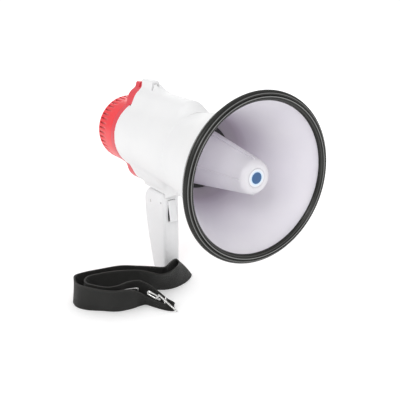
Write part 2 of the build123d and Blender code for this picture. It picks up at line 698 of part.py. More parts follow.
with BuildPart() as trigger_lever:
    with BuildSketch(yz()):
        with BuildLine():
            Polyline((203.25, -84.4), (202.05, -88), (199.25, -98), (196.85, -107),
                     (196.3, -113.6), (208.2, -113.6), (210.5, -104), (213.5, -92),
                     (TRIG_Y + 0.5, -84.2), close=True)
        make_face()
        with TRIGGER_PIVOT():
            Circle(4.4)
    extrude(amount=5.0, both=True)
    # gap for the spring, then the pin's bore
    with BuildSketch(yz()):
        with TRIGGER_PIVOT():
            Circle(6.4)
    extrude(amount=2.7, both=True, mode=Mode.SUBTRACT)
    with BuildSketch(yz(-8)):
        with TRIGGER_PIVOT():
            Circle(1.52)
    extrude(amount=16, mode=Mode.SUBTRACT)
save("trigger_lever", trigger_lever)

save("trigger_pin", rods(TRIGGER_PIVOT, (yz(-GRIP_HALF + 1.0), 1.48, 2 * GRIP_HALF - 2)))
save("trigger_spring", rods(TRIGGER_PIVOT, (yz(-2.2), 3.0, 4.4), bore=2.1))

with BuildPart() as talk_switch:
    # body, then plunger: y, length, height, half width
    for y, length, height, half_width in ((218.0, 7.2, 12.8, 3.2), (213.9, 1.4, 2.4, 1.2)):
        with BuildSketch(yz()):
            with Locations((y, SWITCH_Z)):
                Rectangle(length, height)
        extrude(amount=half_width, both=True)
save("talk_switch", talk_switch)

# Two leads side by side, hanging from the switch.
LEADS_PLANE = Plane(origin=(0, MOUTH_Y + 221, AXIS_Z - 116.8), x_dir=(0, 1, 0), z_dir=(1, 0, 0))
with BuildPart() as switch_leads:
    with BuildLine(LEADS_PLANE) as lead:
        Spline((0, 0), (-4, -10), (2, -24), (-2, -44))
    with BuildSketch(Plane(origin=lead.wires()[0] @ 0, z_dir=lead.wires()[0] % 0)):
        with Locations((1.1, 0), (-1.1, 0)):
            Circle(0.9)
    sweep()
save("switch_leads", switch_leads)

# ============ carrying strap, lying doubled beside the foot ============
# Centreline of the webbing seen from above, (x, y).
STRAP_LOOP = [
    (-60, 101), (-73, 116), (-88, 129), (-107, 133), (-126, 136), (-142, 150), (-155, 166),
    (-161, 182), (-155, 199), (-141, 207), (-117, 206), (-85, 200), (-65, 188), (-50, 172),
    (-36, 162), (-20, 170), (-5, 181), (8, 186), (16, 179), (6, 167), (-12, 157), (-30, 153),
    (-45, 158), (-57, 168), (-72, 179), (-92, 186), (-118, 193), (-138, 194), (-147, 186),
    (-149, 175), (-143, 162), (-132, 149), (-118, 145), (-100, 148), (-84, 144), (-72, 134),
    (-62, 122), (-54, 109)]


def smooth_loop(points, steps):
    """Closed Catmull-Rom curve through the points, as (x, y, normal x, normal y)."""
    curve = []
    total = len(points)
    for i in range(total):
        spans = list(zip(*(points[(i + k) % total] for k in (-1, 0, 1, 2))))
        for j in range(steps):
            t = j / steps
            x, y = [0.5 * (2 * b + (c - a) * t + (2 * a - 5 * b + 4 * c - d) * t**2
                           + (3 * b - a - 3 * c + d) * t**3) for a, b, c, d in spans]
            dx, dy = [0.5 * ((c - a) + 2 * (2 * a - 5 * b + 4 * c - d) * t
                             + 3 * (3 * b - a - 3 * c + d) * t**2) for a, b, c, d in spans]
            size = (dx**2 + dy**2) ** 0.5
            curve.append((x, y, -dy / size, dx / size))
    return curve


STRAP_CURVE = smooth_loop(STRAP_LOOP, 3)
with BuildPart() as strap_webbing:
    with BuildSketch(xy(FLOOR_Z + 0.3)):
        for offset, mode in ((STRAP_T / 2, Mode.ADD), (-STRAP_T / 2, Mode.SUBTRACT)):
            with BuildLine():
                Polyline(*[(x + nx * offset, y + ny * offset) for x, y, nx, ny in STRAP_CURVE],
                         close=True)
            make_face(mode=mode)
    extrude(amount=STRAP_W)
save("strap_webbing", strap_webbing)

SLIDER_PLANE = Plane(origin=(-101, MOUTH_Y + 141.0, AXIS_Z + FITTING_Z),
                     x_dir=(0.97, -0.243, 0), z_dir=(-0.243, -0.97, 0))
with BuildPart() as strap_slider:
    with BuildSketch(SLIDER_PLANE):
        RectangleRounded(22, 34, 3.0)
        with Locations((-5.6, 0), (5.6, 0)):
            RectangleRounded(6.8, 27, 1.5, mode=Mode.SUBTRACT)
    extrude(amount=1.0, both=True)
    chamfer(strap_slider.edges().group_by(SortBy.LENGTH)[-1], 0.4)
save("strap_slider", strap_slider)

# Snap hook: eye for the webbing, stem, open hook; the gate closes the hook's opening.
HOOK_PLANE = Plane(origin=(-72.5, MOUTH_Y + 122.5, AXIS_Z + FITTING_Z),
                   x_dir=(0.66, -0.751, 0), z_dir=(-0.751, -0.66, 0))
with BuildPart() as snap_hook:
    with BuildSketch(HOOK_PLANE):
        with Locations((15, 0)):
            RectangleRounded(9, 30, 2.0)
            RectangleRounded(4, 25, 1.0, mode=Mode.SUBTRACT)
        with Locations((7.2, 0)):
            Rectangle(8, 5)
        with Locations((-8, 0)):
            RectangleRounded(25, 17, 7.5)
            RectangleRounded(17, 9.6, 4.0, mode=Mode.SUBTRACT)
        with Locations((-7, 7.4)):
            Rectangle(11, 5.2, mode=Mode.SUBTRACT)
    extrude(amount=1.6, both=True)
save("snap_hook", snap_hook)

with BuildPart() as hook_gate:
    with BuildSketch(HOOK_PLANE):
        with Locations((-7.35, 6.6)):
            Rectangle(9.3, 2.4)
        with Locations((-3.0, 6.6)):
            Circle(1.2)
    extrude(amount=1.3, both=True)
save("hook_gate", hook_gate)
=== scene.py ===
"""Hand-held horn loudspeaker: flared bell with a rubber rim, ribbed nose, housing, red bezel and
rear cap, and a webbing strap with its slider and snap hook lying on the floor.

Shapes are in horn coordinates, in mm: x across, y along the axis from the centre of the mouth
(at the front) to the rear cap, z above the axis. to_world() turns them into metres.
"""
import json
import math
import bpy
import bmesh
import numpy as np
from mathutils import Matrix, Vector


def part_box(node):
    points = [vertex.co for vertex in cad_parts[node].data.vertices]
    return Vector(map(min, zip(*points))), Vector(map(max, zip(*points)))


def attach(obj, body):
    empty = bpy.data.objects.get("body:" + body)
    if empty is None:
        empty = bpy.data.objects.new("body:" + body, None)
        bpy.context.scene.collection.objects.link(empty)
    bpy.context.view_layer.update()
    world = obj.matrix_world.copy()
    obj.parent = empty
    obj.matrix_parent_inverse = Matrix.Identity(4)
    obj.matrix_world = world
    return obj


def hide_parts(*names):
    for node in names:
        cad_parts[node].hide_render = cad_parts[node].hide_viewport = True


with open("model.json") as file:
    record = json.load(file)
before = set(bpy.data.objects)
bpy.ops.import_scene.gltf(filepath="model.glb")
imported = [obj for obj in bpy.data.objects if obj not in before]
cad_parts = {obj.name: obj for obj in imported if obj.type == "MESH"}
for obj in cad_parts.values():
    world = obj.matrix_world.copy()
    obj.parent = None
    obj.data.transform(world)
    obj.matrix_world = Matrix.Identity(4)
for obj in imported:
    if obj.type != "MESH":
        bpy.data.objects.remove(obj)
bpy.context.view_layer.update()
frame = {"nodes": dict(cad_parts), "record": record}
scene = bpy.context.scene

RIM_REACH = 0.0066  # m, how far the rim stands in front of the mouth
rim_lo, rim_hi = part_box("rim_gasket")
MOUTH_Y = rim_lo.y + RIM_REACH
AXIS_Z = 0.5 * (rim_lo.z + rim_hi.z)
ORIGIN = np.array([0.0, MOUTH_Y, AXIS_Z])
FLOOR = -AXIS_Z * 1000.0

# Webbing, mm: its full width and the pitches of its weave
STRAP_WIDTH = 34.0
WARP_PITCH = 1.55
WEFT_PITCH = 1.5


def to_world(points):
    return np.asarray(points, float) * 0.001 + ORIGIN


def add_object(name, data):
    ob = bpy.data.objects.new(name, data)
    scene.collection.objects.link(ob)
    return ob


# ---------------------------------------------------------------- shader graph
class Graph:
    """Makes and links the nodes of one node tree. A value is a number, a colour or a socket."""

    def __init__(self, tree):
        self.tree = tree

    def node(self, kind):
        return self.tree.nodes.new("ShaderNode" + kind)

    def feed(self, socket, value):
        if isinstance(value, bpy.types.NodeSocket):
            self.tree.links.new(value, socket)
        else:
            socket.default_value = (*value, 1) if isinstance(value, tuple) else value

    def feed_all(self, node, values):
        for name, value in values.items():
            self.feed(node.inputs[name], value)

    def math(self, operation, *values):
        node = self.node("Math")
        node.operation = operation
        for socket, value in zip(node.inputs, values):
            self.feed(socket, value)
        return node.outputs[0]

    def scaled(self, value, by, plus=None):
        if plus is None:
            return self.math("MULTIPLY", value, by)
        return self.math("MULTIPLY_ADD", value, by, plus)

    def ramp(self, value, stops):
        """Colour ramp through (position, grey or colour) stops."""
        node = self.node("ValToRGB")
        elements = node.color_ramp.elements
        while len(elements) < len(stops):
            elements.new(0.5)
        for element, (position, colour) in zip(elements, stops):
            element.position = position
            rgb = (colour,) * 3 if isinstance(colour, (int, float)) else colour
            element.color = (*rgb, 1)
        self.feed(node.inputs[0], value)
        return node.outputs[0]

    def fade(self, value, black, white):
        return self.ramp(value, [(black, 0), (white, 1)])

    def mix(self, factor, first, second, mode="MIX"):
        node = self.node("Mix")
        node.data_type = "RGBA"
        node.blend_type = mode
        for index, value in ((0, factor), (6, first), (7, second)):
            self.feed(node.inputs[index], value)
        return node.outputs[2]

    def coordinates(self):
        return self.node("TexCoord").outputs["Object"]

    def split(self, vector):
        node = self.node("SeparateXYZ")
        self.feed(node.inputs[0], vector)
        return node.outputs

    def noise(self, scale, detail=3.0, roughness=0.5, vector=None):
        node = self.node("TexNoise")
        if vector is None:
            vector = self.coordinates()
        self.feed_all(node, {"Scale": scale, "Detail": detail, "Roughness": roughness,
                             "Vector": vector})
        return node.outputs["Fac"]

    def axis_distance(self, position):
        """Distance from the horn axis, in metres."""
        x = position[0]
        z = self.math("SUBTRACT", position[2], AXIS_Z)
        squares = self.math("ADD", self.math("MULTIPLY", x, x), self.math("MULTIPLY", z, z))
        return self.math("SQRT", squares)

    def bump(self, surface, height, strength, distance):
        node = self.node("Bump")
        self.feed_all(node, {"Strength": strength, "Distance": distance, "Height": height})
        self.feed(surface.inputs["Normal"], node.outputs[0])


def start(name):
    """New material with only a Principled surface."""
    material = bpy.data.materials.new(name)
    material.use_nodes = True
    graph = Graph(material.node_tree)
    graph.tree.nodes.clear()
    output = graph.node("OutputMaterial")
    surface = graph.node("BsdfPrincipled")
    graph.feed(output.inputs[0], surface.outputs[0])
    return material, graph, surface


# ---------------------------------------------------------------- materials
def moulded(name, light, dark, roughness, grain=1400.0, grain_strength=0.12,
            edge=(1.0, 1.0, 1.0), edge_amount=0.10, coat=0.0):
    """Moulded plastic: fine grain, slow tone drift, worn edges and painted shade darkening the
    hollows.
    """
    material, graph, surface = start(name)
    drift = graph.noise(scale=16.0, detail=4.0)
    fine = graph.noise(scale=grain, detail=2.0)
    mottle = graph.noise(scale=130.0, detail=5.0, roughness=0.6)
    colour = graph.mix(graph.fade(drift, black=0.35, white=0.68), dark, light)
    pointiness = graph.node("NewGeometry").outputs["Pointiness"]
    worn = graph.fade(pointiness, black=0.505, white=0.58)
    wear = graph.scaled(graph.math("MULTIPLY", worn, mottle), by=edge_amount * 2)
    colour = graph.mix(wear, colour, edge)
    # painted shade: concave places (low pointiness) are darkened towards the dark tone
    hollow_shade = graph.ramp(pointiness, [(0.42, 1), (0.495, 0)])
    colour = graph.mix(graph.scaled(hollow_shade, by=0.25), colour, tuple(c * 0.6 for c in dark))
    rough = graph.scaled(mottle, by=0.16, plus=roughness - 0.06)
    graph.feed_all(surface, {
        "Base Color": colour,
        "Roughness": graph.scaled(worn, by=0.08, plus=rough),
        "Specular IOR Level": 0.45,
        "Coat Weight": coat,
        "Coat Roughness": 0.25,
    })
    height = graph.scaled(mottle, by=0.35, plus=fine)
    graph.bump(surface, height, strength=grain_strength, distance=0.00012)
    return material


def rubber(name, colour, light, roughness, specular=0.6):
    """Mottled rubber, lighter where edges are worn."""
    material, graph, surface = start(name)
    drift = graph.noise(scale=40.0, detail=5.0, roughness=0.6)
    fine = graph.noise(scale=900.0)
    pointiness = graph.node("NewGeometry").outputs["Pointiness"]
    worn = graph.fade(pointiness, black=0.505, white=0.56)
    halfway = tuple(0.5 * (a + b) for a, b in zip(colour, light))
    tone = graph.mix(graph.fade(drift, black=0.35, white=0.75), colour, halfway)
    graph.feed_all(surface, {
        "Base Color": graph.mix(graph.scaled(worn, by=0.7), tone, light),
        "Roughness": graph.scaled(drift, by=0.22, plus=roughness - 0.1),
        "Specular IOR Level": specular,
    })
    height = graph.scaled(fine, by=0.5, plus=drift)
    graph.bump(surface, height, strength=0.3, distance=0.0002)
    return material


def metal(name, colour, roughness):
    """Brushed metal with darker stains."""
    material, graph, surface = start(name)
    mapping = graph.node("Mapping")
    mapping.inputs["Scale"].default_value = (1.0, 1.0, 9.0)
    graph.feed(mapping.inputs["Vector"], graph.coordinates())
    brush = graph.noise(scale=700.0, detail=4.0, roughness=0.6, vector=mapping.outputs[0])
    stain = graph.noise(scale=90.0, detail=4.0, roughness=0.6)
    stained = graph.fade(stain, black=0.4, white=0.8)
    graph.feed_all(surface, {
        "Base Color": graph.mix(stained, colour, tuple(c * 0.6 for c in colour)),
        "Metallic": 1.0,
        "Roughness": graph.scaled(brush, by=0.22, plus=roughness - 0.08),
    })
    graph.bump(surface, brush, strength=0.2, distance=0.0001)
    return material


def webbing(name):
    """Woven nylon: ribs along the strap, weft across it, lighter selvedge and dust.

    Reads the strap's UV in mm: u along the strap, v across it.
    """
    material, graph, surface = start(name)
    uv_map = graph.node("UVMap")
    uv_map.uv_map = "weave"
    uv = uv_map.outputs[0]
    along, across = graph.split(uv)[:2]

    def wave(value, pitch):
        sine = graph.math("SINE", graph.scaled(value, by=math.pi / pitch))
        return graph.math("ABSOLUTE", sine)

    wobble = graph.noise(scale=0.35, detail=2.0, vector=uv)
    along = graph.scaled(wobble, by=0.9, plus=along)
    warp = wave(across, WARP_PITCH)
    # every other rib is shifted by half a weft pitch
    row = graph.math("FLOOR", graph.scaled(across, by=1 / WARP_PITCH))
    shift = graph.scaled(graph.math("MODULO", row, 2.0), by=WEFT_PITCH / 2)
    weft = wave(graph.math("ADD", along, shift), WEFT_PITCH)
    rib_sharpness = 0.6
    weave = graph.math("MULTIPLY", graph.math("POWER", warp, rib_sharpness),
                       graph.scaled(weft, by=0.6, plus=0.4))
    fluff = graph.noise(scale=5.0, detail=6.0, roughness=0.7, vector=uv)
    dust = graph.noise(scale=26.0, detail=5.0, roughness=0.65)

    pale = (0.022, 0.022, 0.020)
    colour = graph.mix(weave, (0.002, 0.002, 0.0018), (0.014, 0.014, 0.0125))
    dusty = graph.scaled(graph.fade(dust, black=0.45, white=0.8), by=0.30)
    colour = graph.mix(dusty, colour, pale)
    from_middle = graph.math("ABSOLUTE", graph.math("SUBTRACT", across, STRAP_WIDTH / 2))
    selvedge = graph.fade(graph.scaled(from_middle, by=1 / (STRAP_WIDTH / 2)),
                          black=0.86, white=0.93)
    graph.feed_all(surface, {
        "Base Color": graph.mix(graph.scaled(selvedge, by=0.55), colour, pale),
        "Roughness": graph.scaled(fluff, by=0.2, plus=0.62),
        "Sheen Weight": 0.10,
        "Sheen Roughness": 0.45,
        "Specular IOR Level": 0.28,
    })
    height = graph.scaled(fluff, by=0.25, plus=weave)
    graph.bump(surface, height, strength=0.85, distance=0.0005)
    return material


def badge(name):
    """White inlay with a plain blue disc about the horn axis and a painted pale blue glow round
    it.
    """
    disc_radius = 0.0072  # m
    material, graph, surface = start(name)
    radius = graph.axis_distance(graph.split(graph.coordinates()))
    grain = graph.noise(scale=700.0)
    radius = graph.scaled(grain, by=0.00012, plus=radius)
    inside = graph.math("LESS_THAN", radius, disc_radius)
    # painted glow: pale blue fading out from the disc's edge into the grey of the inlay
    # ramp positions are in units of 10 mm
    halo = graph.ramp(graph.scaled(radius, by=100.0),
                      [(0.70, (0.46, 0.66, 0.84)), (0.98, (0.74, 0.75, 0.79))])
    blue = graph.mix(graph.noise(scale=160.0, detail=4.0),
                     (0.003, 0.060, 0.19), (0.006, 0.095, 0.27))
    graph.feed_all(surface, {"Base Color": graph.mix(inside, halo, blue),
                             "Roughness": 0.3, "Coat Weight": 0.4})
    graph.bump(surface, grain, strength=0.1, distance=0.0001)
    return material


WHITE = moulded("white_abs", light=(0.80, 0.80, 0.803), dark=(0.775, 0.775, 0.781),
                roughness=0.42, edge=(0.95, 0.95, 0.95))
# inside of the bell: the white plastic painted lighter and tinted lilac, standing in for the
# light inside the bell
WHITE_IN = moulded("white_abs_inner", light=(0.825, 0.805, 0.845), dark=(0.78, 0.757, 0.812),
                   roughness=0.40, edge=(0.85, 0.84, 0.87))
# nose: a darker, lilac-tinted copy of the white, painted darker to tone down the light on its
# front-facing tip
WHITE_NOSE = moulded("white_abs_nose", light=(0.77, 0.755, 0.79), dark=(0.73, 0.712, 0.755),
                     roughness=0.38, edge=(0.92, 0.91, 0.94), edge_amount=0.3)
WHITE_TRIM = moulded("white_abs_trim", light=(0.81, 0.81, 0.818), dark=(0.77, 0.77, 0.78),
                     roughness=0.36)
RED = moulded("red_abs", light=(0.72, 0.030, 0.052), dark=(0.62, 0.020, 0.038),
              roughness=0.34, edge=(0.95, 0.28, 0.30), edge_amount=0.2, coat=0.15)
RED_CAP = moulded("red_abs_cap", light=(0.86, 0.014, 0.026), dark=(0.76, 0.010, 0.020),
                  roughness=0.30, edge=(0.98, 0.22, 0.24), edge_amount=0.15, coat=0.10)
BLACK = moulded("black_abs", light=(0.016, 0.016, 0.017), dark=(0.010, 0.010, 0.011),
                roughness=0.5, edge=(0.06, 0.06, 0.06), edge_amount=0.3)
RUBBER = rubber("black_rubber", colour=(0.003, 0.0034, 0.0026), light=(0.014, 0.0145, 0.012),
                roughness=0.30)
RIM_RUBBER = rubber("rim_rubber", colour=(0.0035, 0.004, 0.003), light=(0.02, 0.021, 0.018),
                    roughness=0.20, specular=0.34)
STEEL = metal("plated_steel", colour=(0.62, 0.62, 0.61), roughness=0.22)
DARK_STEEL = metal("black_steel", colour=(0.16, 0.16, 0.165), roughness=0.38)
COPPER = metal("copper_wire", colour=(0.72, 0.34, 0.18), roughness=0.28)
FERRITE = moulded("ferrite", light=(0.045, 0.045, 0.05), dark=(0.03, 0.03, 0.033),
                  roughness=0.62, grain=600.0, grain_strength=0.4)
FILM = moulded("phenolic_film", light=(0.33, 0.20, 0.075), dark=(0.24, 0.13, 0.045),
               roughness=0.3, grain=300.0)
CELL = moulded("cell_jacket", light=(0.05, 0.05, 0.06), dark=(0.03, 0.03, 0.04),
               roughness=0.25, coat=0.5)
BOARD = moulded("circuit_board", light=(0.022, 0.16, 0.065), dark=(0.012, 0.10, 0.04),
                roughness=0.35, grain=260.0, grain_strength=0.3)
LAMP = moulded("red_lens", light=(0.55, 0.02, 0.02), dark=(0.40, 0.01, 0.01),
               roughness=0.15, coat=0.8)
LEAD = rubber("lead_jacket", colour=(0.20, 0.015, 0.015), light=(0.32, 0.05, 0.05),
              roughness=0.5)
WEB = webbing("woven_webbing")
BADGE = badge("badge_inlay")


def shade(material, along, stops, mode="MULTIPLY"):
    """Paint light and shade into the base colour: blend it with a ramp over y or over the radius.

    stops are (mm, grey or colour). "pocket" is the radius, but raised past the flute ends, so the
    painted shade stays in the flutes and the cap's rounded rear edge and rear face keep their
    full colour.
    """
    flute_end = 0.329  # m
    graph = Graph(material.node_tree)
    base = graph.tree.nodes["Principled BSDF"].inputs["Base Color"]
    low, high = stops[0][0], stops[-1][0]
    position = graph.split(graph.coordinates())
    if along == "y":
        value = graph.math("SUBTRACT", position[1], MOUTH_Y)
    else:
        value = graph.axis_distance(position)
    if along == "pocket":
        behind = graph.math("SUBTRACT", position[1], MOUTH_Y + flute_end)
        rise = graph.scaled(behind, by=20.0)
        value = graph.math("MAXIMUM", value, graph.math("ADD", rise, low * 0.001))
    offset = graph.math("SUBTRACT", value, low * 0.001)
    fraction = graph.math("DIVIDE", offset, (high - low) * 0.001)
    tone = graph.ramp(fraction, [((mm - low) / (high - low), colour) for mm, colour in stops])
    graph.feed(base, graph.mix(1.0, base.links[0].from_socket, tone, mode))


# painted shade inside the bell: a little darker at the lip, lilac from 100 mm, darkening deep
# towards the throat
shade(WHITE_IN, "y", [(10, 0.965), (60, 1.0), (100, (1.0, 0.97, 1.0)),
                      (112, (0.86, 0.80, 0.86)), (123, (0.50, 0.46, 0.50))])
# painted light and shade along the nose: darker at its tip, brighter towards its base
shade(WHITE_NOSE, "y", [(0, 0.88), (16, 0.94), (40, 1.10), (110, 1.24)])
# painted shade in the rear cap's flutes: darker towards the bottom of each flute
shade(RED_CAP, "pocket", [(46.9, 0.30), (48.4, 0.62), (49.3, 1.0)])
# painted highlights along the crests of the rubber rim
shade(RIM_RUBBER, "radius", [
    (92.0, 0.0), (94.4, 0.0), (94.9, 0.05), (95.4, 0.0), (97.0, 0.0), (97.6, 0.30),
    (98.2, 0.0), (101.0, 0.0), (101.5, 0.20), (102.0, 0.0), (105.2, 0.0)], mode="ADD")

SLOT_MATERIAL = {
    "white_abs": WHITE_TRIM, "red_abs": RED, "black_rubber": RUBBER, "black_abs": BLACK,
    "blue_inlay": BADGE, "plated_steel": STEEL, "black_steel": DARK_STEEL, "ferrite": FERRITE,
    "film": FILM, "copper": COPPER, "cell_jacket": CELL, "circuit_board": BOARD, "lamp": LAMP,
    "lead_jacket": LEAD, "webbing": WEB,
}
for subpart in frame["record"]["subparts"]:
    slots = frame["nodes"][subpart["node"]].data.materials
    slots.clear()
    slots.append(SLOT_MATERIAL[subpart["material_slot"]])


# ---------------------------------------------------------------- meshes
def piece(name, shape, body, replaces, materials, sharp=32.0, face_slot=None, uv=None):
    """Object from a closed (vertices, faces) shape; face_slot(centre) picks a face's material."""
    verts, faces = shape
    mesh = bpy.data.meshes.new(name)
    mesh.from_pydata([tuple(v) for v in to_world(verts)], [],
                     [tuple(int(i) for i in face) for face in faces])
    if uv is not None:
        layer = mesh.uv_layers.new(name="weave")
        layer.data.foreach_set("uv", np.asarray(uv, float).reshape(-1))
    bm = bmesh.new()
    bm.from_mesh(mesh)
    bmesh.ops.remove_doubles(bm, verts=bm.verts, dist=1e-6)
    bmesh.ops.dissolve_degenerate(bm, edges=bm.edges, dist=1e-7)
    bmesh.ops.recalc_face_normals(bm, faces=bm.faces)
    bm.to_mesh(mesh)
    bm.free()
    for material in materials:
        mesh.materials.append(material)
    if face_slot is not None:
        origin = Vector(ORIGIN)
        for polygon in mesh.polygons:
            polygon.material_index = face_slot((polygon.center - origin) * 1000.0)
    mesh.polygons.foreach_set("use_smooth", [True] * len(mesh.polygons))
    mesh.set_sharp_from_angle(angle=math.radians(sharp))
    mesh.update()
    ob = add_object(name, mesh)
    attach(ob, body)
    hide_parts(replaces)


def catmull(a, b, c, d, t):
    """Catmull-Rom point between b and c."""
    return 0.5 * (2 * b + (c - a) * t + (2 * a - 5 * b + 4 * c - d) * t * t
                  + (3 * b - a - 3 * c + d) * t ** 3)


def curve(points, steps):
    """Open Catmull-Rom curve through the points, with steps to each span."""
    ends = np.array(points, float)
    P = np.vstack([2 * ends[0] - ends[1], ends, 2 * ends[-1] - ends[-2]])
    out = [catmull(*P[i - 1:i + 3], j / steps) for i in range(1, len(P) - 2)
           for j in range(steps)]
    return [tuple(p) for p in out + [P[-2]]]


def bands(rings, size, closed):
    """Quads between successive rings of size points each."""
    faces = []
    for i in range(rings if closed else rings - 1):
        k = (i + 1) % rings
        for j in range(size):
            q = (j + 1) % size
            faces.append((i * size + j, i * size + q, k * size + q, k * size + j))
    return faces


def turned(profile, segments=256, angles=None, lift=None):
    """Closed (y, r) loop turned about the horn axis. lift(y, r, angle) adds to r."""
    P = np.array(profile, float)
    if angles is None:
        angles = np.arange(segments) * 2 * math.pi / segments
    y, angle = np.meshgrid(P[:, 0], angles, indexing="ij")
    r = np.repeat(P[:, 1:], len(angles), axis=1)
    if lift is not None:
        r = r + lift(y, r, angle)
    verts = np.stack([r * np.cos(angle), y, r * np.sin(angle)], -1).reshape(-1, 3)
    return verts, bands(len(P), len(angles), closed=True)


def join(*shapes):
    faces, offset = [], 0
    for verts, part_faces in shapes:
        faces += [tuple(i + offset for i in face) for face in part_faces]
        offset += len(verts)
    return np.vstack([verts for verts, _ in shapes]), faces


def rod(a, b, radius, segments=20, bevel=0.3):
    """Round bar from a to b with bevelled ends; it must not be vertical."""
    a, b = np.array(a, float), np.array(b, float)
    along = (b - a) / np.linalg.norm(b - a)
    side = np.cross(along, [0, 0, 1.0])
    side /= np.linalg.norm(side)
    up = np.cross(side, along)
    rings = [(a, 0.0), (a, radius - bevel), (a + along * bevel, radius),
             (b - along * bevel, radius), (b, radius - bevel), (b, 0.0)]
    verts = []
    for centre, r in rings:
        for j in range(segments):
            t = 2 * math.pi * j / segments
            verts.append(centre + r * (math.cos(t) * side + math.sin(t) * up))
    return np.array(verts), bands(len(rings), segments, closed=False)


def placed(shape, origin, x_axis, z_axis):
    """Shape moved so its local x lies along x_axis and its local z nearest z_axis."""
    verts, faces = shape
    x_axis, z_axis = np.array(x_axis, float), np.array(z_axis, float)
    x_axis /= np.linalg.norm(x_axis)
    z_axis = z_axis - x_axis * (z_axis @ x_axis)
    z_axis /= np.linalg.norm(z_axis)
    y_axis = np.cross(z_axis, x_axis)
    moved = (np.array(origin, float) + verts[:, :1] * x_axis + verts[:, 1:2] * y_axis
             + verts[:, 2:] * z_axis)
    return moved, faces


def surface_net(field, lo, hi, step):
    """Closed mesh of field = 0 (negative inside) on a grid, then pulled onto the surface."""
    lo, hi = np.array(lo, float), np.array(hi, float)
    count = np.ceil((hi - lo) / step).astype(int) + 1
    axes = [lo[i] + step * np.arange(count[i]) for i in range(3)]
    values = field(*np.meshgrid(*axes, indexing="ij"))

    # one vertex per crossed cell, at the mean of the crossings on its twelve edges
    cells = tuple(count - 1)
    total = np.zeros(cells + (3,))
    crossings = np.zeros(cells)
    for axis in range(3):
        others = [k for k in range(3) if k != axis]
        for sides in ((0, 0), (0, 1), (1, 0), (1, 1)):
            near, far = [None] * 3, [None] * 3
            near[axis], far[axis] = slice(0, -1), slice(1, None)
            for other, side in zip(others, sides):
                near[other] = far[other] = slice(side, cells[other] + side)
            first, last = values[tuple(near)], values[tuple(far)]
            crossed = (first < 0) != (last < 0)
            total[..., axis] += np.where(crossed, first / np.where(crossed, first - last, 1), 0)
            for other, side in zip(others, sides):
                total[..., other] += np.where(crossed, side, 0)
            crossings += crossed
    active = crossings > 0
    index = -np.ones(cells, int)
    index[active] = np.arange(active.sum())
    verts = lo + step * (np.argwhere(active) + total[active] / crossings[active][:, None])

    # one quad per crossed grid edge, joining the four cells around it
    faces = []
    for axis in range(3):
        second, third = (axis + 1) % 3, (axis + 2) % 3
        near, far = [slice(1, -1)] * 3, [slice(1, -1)] * 3
        near[axis], far[axis] = slice(0, -1), slice(1, None)
        first, last = values[tuple(near)], values[tuple(far)]
        hit = np.argwhere((first < 0) != (last < 0))
        inward = ~(first < 0)[tuple(hit.T)]
        base = hit + 1
        base[:, axis] -= 1
        corners = []
        for second_step, third_step in ((-1, -1), (0, -1), (0, 0), (-1, 0)):
            cell = base.copy()
            cell[:, second] += second_step
            cell[:, third] += third_step
            corners.append(index[tuple(cell.T)])
        quads = np.stack(corners, -1)
        quads[inward] = quads[inward][:, ::-1]
        faces.append(quads)
    faces = np.vstack(faces)
    faces = faces[(faces >= 0).all(1)]

    probe = 0.02
    for _ in range(4):
        value = field(*verts.T)
        slope = np.stack([field(*(verts + probe * unit).T) - value for unit in np.eye(3)],
                         -1) / probe
        steepness = np.maximum((slope ** 2).sum(-1), 0.25)
        move = -slope * (value / steepness)[:, None]
        size = np.linalg.norm(move, axis=-1)
        move *= np.minimum(1.0, 0.4 * step / np.maximum(size, 1e-9))[:, None]
        verts = verts + move
    return verts, faces.tolist()


# ---------------------------------------------------------------- distance fields
def smin(a, b, blend):
    t = np.clip(0.5 + 0.5 * (b - a) / blend, 0, 1)
    return b * (1 - t) + a * t - blend * t * (1 - t)


def smax(a, b, blend):
    return -smin(-a, -b, blend)


def cut(solid, hole):
    return np.maximum(solid, -hole)


def slab(v, lo, hi):
    return np.maximum(lo - v, v - hi)


def rounded(a, b, radius):
    """Intersection of a and b with a rounded edge; both are given inset by the radius."""
    return np.hypot(np.maximum(a, 0), np.maximum(b, 0)) + np.minimum(np.maximum(a, b), 0) - radius


def rounded_box(x, y, centre, half, radius):
    return rounded(np.abs(x - centre[0]) - half[0] + radius,
                   np.abs(y - centre[1]) - half[1] + radius, radius)


def plate(x, y, z, half, outline, blend):
    """Plate to x = +-half with a convex (y, z) outline, anticlockwise with y right and z up."""
    P = np.array(outline, float)
    sides = []
    for a, b in zip(P, np.roll(P, -1, axis=0)):
        t = (b - a) / np.linalg.norm(b - a)
        sides.append((y - a[0]) * t[1] - (z - a[1]) * t[0])
    return smax(slab(x, -half, half), np.maximum.reduce(sides), blend)


def plateau(distance, flat, slope):
    """1 out to flat, easing to 0 over the next slope."""
    t = 1 - np.clip((distance - flat) / slope, 0, 1)
    return t * t * (3 - 2 * t)


# ---------------------------------------------------------------- bell, (y, r) outlines
BELL_OUTER = curve([(8, 97.2), (25, 87.5), (50, 76.5), (80, 66.8), (107, 60.2),
                    (128.6, 56.65)], 10)
BELL_INNER = curve([(122.9, 44.1), (121.3, 49.2), (117.6, 53.6), (112.0, 56.4), (107, 57.8),
                    (80, 64.4), (50, 74.0), (25, 84.8), (8, 93.3), (-0.2, 97.55)], 10)
BELL_LIP = [(-0.4, 97.8), (-0.4, 99.0), (0.0, 99.3), (7.7, 99.3), (8, 99.0), (8, 97.7)]
BELL_REAR = [(129.0, 56.2), (129.0, 51.5), (138, 51.5), (138, 49.2), (129, 49.2),
             (129, 39.5), (126, 39.5), (126, 43.15), (123.8, 43.15), (123.1, 43.4)]
BELL_INNER_END = 127  # the inner colour stops at this y


def make_bell():
    ys, radii = zip(*BELL_INNER[::-1])

    def face_slot(centre):
        limit = np.interp(centre.y, ys, radii) + 0.5
        return int(math.hypot(centre.x, centre.z) < limit and centre.y < BELL_INNER_END)

    piece("bell", turned(BELL_LIP + BELL_OUTER + BELL_REAR + BELL_INNER), "body",
          "horn_bell", [WHITE, WHITE_IN], face_slot=face_slot)


